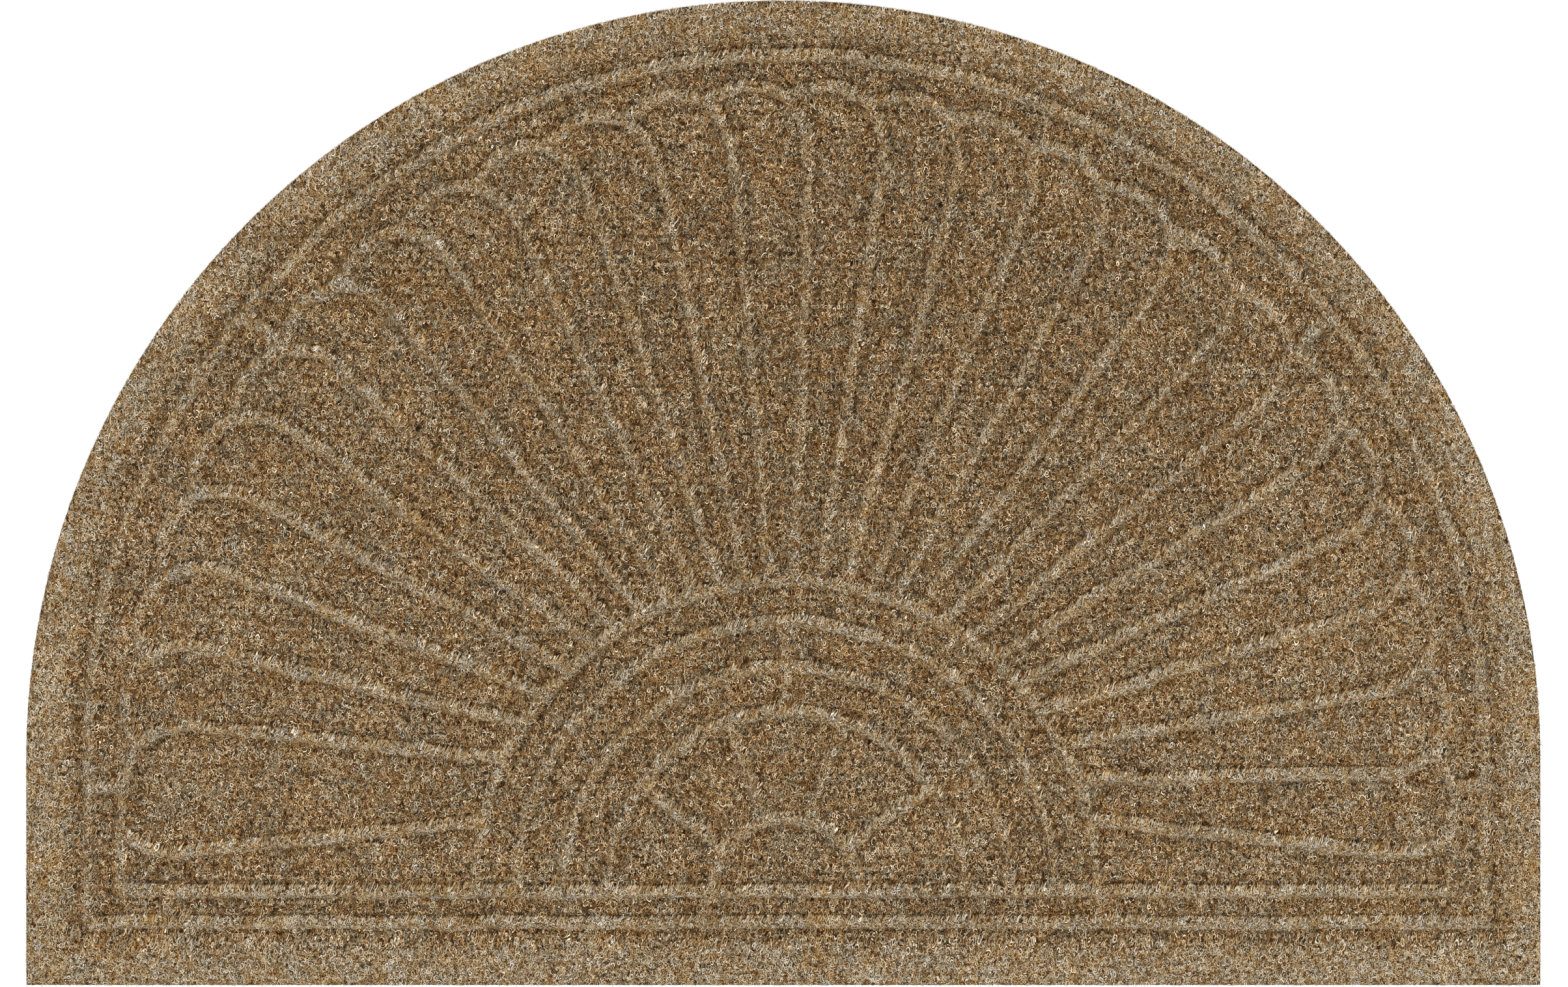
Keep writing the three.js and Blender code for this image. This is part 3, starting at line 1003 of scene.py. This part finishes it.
def loop_ribbons(count, rng, pile):
    """Curled fibres in plan.

    Each is a hook: it runs round an ellipse whose radius shrinks towards its end, and most of the
    ellipses stand along y. Returns the plan offsets of the centre line, the unit normals in plan
    and half a sine wave along it, as arrays of loops by steps.
    """

    def drawn(low, high):
        return rng.uniform(low, high, (count, 1))

    t = np.linspace(0, 1, LOOP_STEPS + 1)[None]
    radius = pile.loop_radius / MM * drawn(0.7, 1.8)
    span = np.radians(drawn(140, 280))
    start = drawn(0, 2 * np.pi)
    way = np.where(drawn(0, 1) < 0.5, -1, 1)
    angle = start + way * span * t
    size = radius * (1 - drawn(0.1, 0.6) * t)
    squash = drawn(0.35, 0.85)
    turn = rng.normal(np.pi / 2, 0.7, (count, 1))
    u = size * np.cos(angle)
    v = size * np.sin(angle) * squash
    x = u * np.cos(turn) - v * np.sin(turn)
    y = u * np.sin(turn) + v * np.cos(turn)
    line = np.stack([x, y], axis=-1)
    along = np.gradient(line, axis=1)
    along /= np.maximum(np.linalg.norm(along, axis=-1, keepdims=True), 1e-6)
    normal = np.stack([-along[..., 1], along[..., 0]], axis=-1)
    return line, normal, np.sin(np.pi * np.broadcast_to(t, x.shape))


def cell_map(count, steps):
    """A flat map with one cell for each fibre: its length runs across the cell, its width up it."""
    columns = math.ceil(math.sqrt(count))
    fibre = np.arange(count)
    corner = np.stack([fibre % columns, fibre // columns], axis=-1)[:, None, None, :]
    u = 0.1 + 0.8 * np.arange(steps + 1) / steps
    v = np.array([0.25, 0.75])
    inside = np.stack(np.broadcast_arrays(u[:, None], v[None]), axis=-1)[None]
    return (corner + inside) / columns


def add_ribbons(name, sides, tone, root, relief, material):
    """A piece of ribbons between two sides, each a plan and heights as arrays of fibres by steps."""
    edges = [np.concatenate([flat, z[..., None]], axis=-1) for flat, z in sides]
    both = np.stack(edges, axis=2)
    count, points = both.shape[:2]
    index = np.arange(count * points * 2).reshape(count, points, 2)
    faces = quads_between(index[..., 0], index[..., 1])
    mesh = mesh_of(name, both.reshape(-1, 3), faces)
    set_attribute(mesh, "tone", np.repeat(tone, points * 2))
    set_attribute(mesh, "root", np.repeat(root.reshape(-1), 2))
    set_pressing_and_shading(mesh, relief, both[..., 0].ravel(), both[..., 1].ravel())
    set_map(mesh, cell_map(count, points - 1).reshape(-1, 2)[faces.ravel()])
    add_piece(mesh, [material])


class DOORMAT_OT_loops(bpy.types.Operator):
    """Make the pile's curled fibres, as one piece for each of their four colours"""

    bl_idname = "doormat.loops"
    bl_label = "Pile Loops"

    def execute(self, context):
        scene = context.scene
        sizes, pile, colours = scene.doormat_sizes, scene.doormat_pile, scene.doormat_colours
        relief = Relief(sizes)
        count = pile.loop_count
        for colour, (seed, low, high, patch) in LOOP_KINDS.items():
            rng = np.random.default_rng(seed)
            centres = scatter(count, rng, sizes.row_pitch / MM, patch, relief)
            line, normal, rise = loop_ribbons(count, rng, pile)
            spot = centres[:, None] + line
            lean = rng.uniform(0, 2 * np.pi, (count, 1))
            slope = rng.uniform(0.05, 0.55, (count, 1))
            tilt = slope * (line[..., 0] * np.cos(lean) + line[..., 1] * np.sin(lean))
            lift = low + (high - low) * rng.uniform(0, 1, (count, 1))
            lift = lift * pile.loop_height / MM
            half = pile.fibre_width / MM / 2 * rng.uniform(0.7, 1.25, (count, 1))
            half = half * (END_WIDTH + (1 - END_WIDTH) * rise)
            roll = rng.uniform(-0.7, 0.7, (count, 1)) * half
            edges = []
            for side in (1, -1):
                flat = spot + side * half[..., None] * normal
                ground = relief.sample(relief.chart, flat[..., 0], flat[..., 1])
                edges.append((flat, ground + lift + tilt + side * roll + LOOP_ARCH * rise))
            tone = rng.beta(1.6, 1.8, count)
            shades = [getattr(colours, colour + end) for end in ("_dark", "_light")]
            material = fibre_material(colour + " fibre", *shades)
            add_ribbons("loops_" + colour, edges, tone, rise, relief, material)
        return {"FINISHED"}


def outline_places(share):
    """Points of the cut outline and the outward direction there, by share of the way round it."""
    front = np.array([[-ARCH_RADIUS, 0], [ARCH_RADIUS, 0]])
    ring = np.concatenate([front, arc(ARCH_CENTRE, ARCH_RADIUS, 720), front[:1]])
    step = np.linalg.norm(np.diff(ring, axis=0), axis=1)
    run = np.concatenate([[0], np.cumsum(step)])
    way = share * run[-1]

    def point(way):
        return np.stack([np.interp(way, run, ring[:, axis]) for axis in (0, 1)], axis=-1)

    along = point((way + 0.5) % run[-1]) - point(way)
    along /= np.linalg.norm(along, axis=1, keepdims=True)
    out = np.stack([along[:, 1], -along[:, 0]], axis=-1)
    return point(way)[:, None], along[:, None], out[:, None]


class DOORMAT_OT_edge(bpy.types.Operator):
    """Make the fibres along the cut edge: loops pressed against it and loose ends that stand out"""

    bl_idname = "doormat.edge"
    bl_label = "Edge Fibres"

    def execute(self, context):
        scene = context.scene
        pile, colours = scene.doormat_pile, scene.doormat_colours
        relief = Relief(scene.doormat_sizes)
        rng = np.random.default_rng(41)
        count = pile.edge_count
        place, along, out = outline_places(rng.uniform(0, 1, count))
        line, normal, rise = loop_ribbons(count, rng, pile)
        half = pile.fibre_width / MM / 2 * (END_WIDTH + (1 - END_WIDTH) * rise)
        height = rng.uniform(1.6, 6.6, (count, 1))
        off = 0.1 + 0.35 * rise + rng.uniform(0, 0.3, (count, 1))
        edges = []
        for side in (-1, 1):
            flat = line + side * half[..., None] * normal
            spot = place + along * flat[..., :1] + out * off[..., None]
            edges.append((spot, np.clip(height + flat[..., 1], 0.5, 7.4)))
        tone = rng.uniform(0, 1, count)
        material = fibre_material("edge fibre", colours.brown_light, colours.grey_light)
        add_ribbons("edge_loops", edges, tone, rise, relief, material)

        place, along, out = outline_places(rng.uniform(0, 1, count))
        t = np.linspace(0, 1, 4)[None, :, None]
        reach = rng.uniform(0.5, 1.7, (count, 1, 1))
        aside = rng.normal(0, 0.7, (count, 1, 1))
        curl = rng.normal(0, 0.8, (count, 1, 1))
        base = rng.uniform(1.0, 7.2, (count, 1))
        climb = rng.normal(0, 0.5, (count, 1))
        line = place + out * (reach * t - 0.3) + along * (aside * t + curl * t * t)
        z = np.clip(base + climb * t[..., 0], 0.3, 8.2)
        half = 0.5 * pile.fibre_width / MM * (0.8 - 0.6 * t)
        edges = [(line + side * half * along, z) for side in (1, -1)]
        tone = rng.uniform(0, 1, count)
        material = fibre_material("fuzz fibre", colours.tan_dark, colours.cream_dark)
        add_ribbons("edge_fuzz", edges, tone, np.ones_like(z), relief, material)
        return {"FINISHED"}


# The photo's width in pixels, its scale in millimetres, and the height where the scale holds.
PHOTO_PIXELS = 2408
PHOTO_SCALE = 0.3933
FACE_HEIGHT = 0.007
CAMERA_SHIFT = (0.0004, -0.0004)

# The stage, in metres and watts.
FLOOR_HALF = 7.0
FLOOR_LEVEL = -0.0003
SOFTBOX_SIZE = (3.6, 2.4)
SOFTBOX_PLACE = (0, -0.6, 4.8)
SOFTBOX_POWER = 140
SKY_STRENGTH = 1.1


class DOORMAT_OT_studio(bpy.types.Operator):
    """Make the stage: a plain pale floor, soft lights and the camera straight above the mat"""

    bl_idname = "doormat.studio"
    bl_label = "Studio"

    def execute(self, context):
        scene = context.scene
        a, z = FLOOR_HALF, FLOOR_LEVEL
        corners = ((-a, -a, z), (a, -a, z), (a, a, z), (-a, a, z))
        mesh = bpy.data.meshes.new("floor")
        mesh.from_pydata(corners, [], [(0, 1, 2, 3)])
        floor = bpy.data.objects.new("floor", mesh)
        scene.collection.objects.link(floor)
        material, tree = new_material("studio floor")
        shade(tree, {"Base Color": rgba(scene.doormat_colours.floor), "Roughness": 0.9})
        mesh.materials.append(material)

        world = bpy.data.worlds.new("studio")
        world.use_nodes = True
        background = world.node_tree.nodes["Background"]
        background.inputs["Color"].default_value = rgba(WHITE)
        background.inputs["Strength"].default_value = SKY_STRENGTH
        scene.world = world

        # A large soft light high over the mat, so that both sides of a cord are lit alike.
        light = bpy.data.lights.new("overhead softbox", "AREA")
        light.shape = "RECTANGLE"
        light.size, light.size_y = SOFTBOX_SIZE
        light.energy = SOFTBOX_POWER
        lamp = bpy.data.objects.new("overhead softbox", light)
        lamp.location = SOFTBOX_PLACE
        lamp.rotation_euler = (math.atan2(-SOFTBOX_PLACE[1], SOFTBOX_PLACE[2]), 0, 0)
        lamp.visible_camera = False
        scene.collection.objects.link(lamp)

        camera = bpy.data.cameras.new("camera")
        camera.lens = 100
        camera.sensor_width = 36
        camera.clip_end = 100
        holder = bpy.data.objects.new("camera", camera)
        frame_width = PHOTO_PIXELS * PHOTO_SCALE * MM
        height = frame_width * camera.lens / camera.sensor_width + FACE_HEIGHT
        holder.location = (*CAMERA_SHIFT, height)
        scene.collection.objects.link(holder)
        scene.camera = holder
        scene.view_settings.view_transform = "Standard"
        return {"FINISHED"}


class DOORMAT_PT_panel(bpy.types.Panel):
    """Lists the doormat's sizes, its colours and its pieces"""

    bl_idname = "DOORMAT_PT_panel"
    bl_label = "Doormat"
    bl_space_type = "VIEW_3D"
    bl_region_type = "UI"
    bl_category = "Doormat"

    def draw(self, context):
        for place in GROUPS:
            group = getattr(context.scene, place)
            box = self.layout.box()
            for name in group.__annotations__:
                box.prop(group, name)
        for operator in OPERATORS:
            self.layout.operator(operator.bl_idname)


OPERATORS = (DOORMAT_OT_studio, DOORMAT_OT_loops, DOORMAT_OT_edge, DOORMAT_OT_ground)
GROUPS = {
    "doormat_sizes": DoormatSizes,
    "doormat_pile": DoormatPile,
    "doormat_colours": DoormatColours,
}
CLASSES = (*GROUPS.values(), *OPERATORS, DOORMAT_PT_panel)


def register():
    for part in CLASSES:
        bpy.utils.register_class(part)
    for place, group in GROUPS.items():
        setattr(bpy.types.Scene, place, bpy.props.PointerProperty(type=group))


def unregister():
    for place in GROUPS:
        delattr(bpy.types.Scene, place)
    for part in reversed(CLASSES):
        bpy.utils.unregister_class(part)


def main():
    register()
    bpy.ops.doormat.studio()
    bpy.ops.doormat.loops()
    bpy.ops.doormat.edge()
    bpy.ops.doormat.ground()


if __name__ == "__main__":
    main()
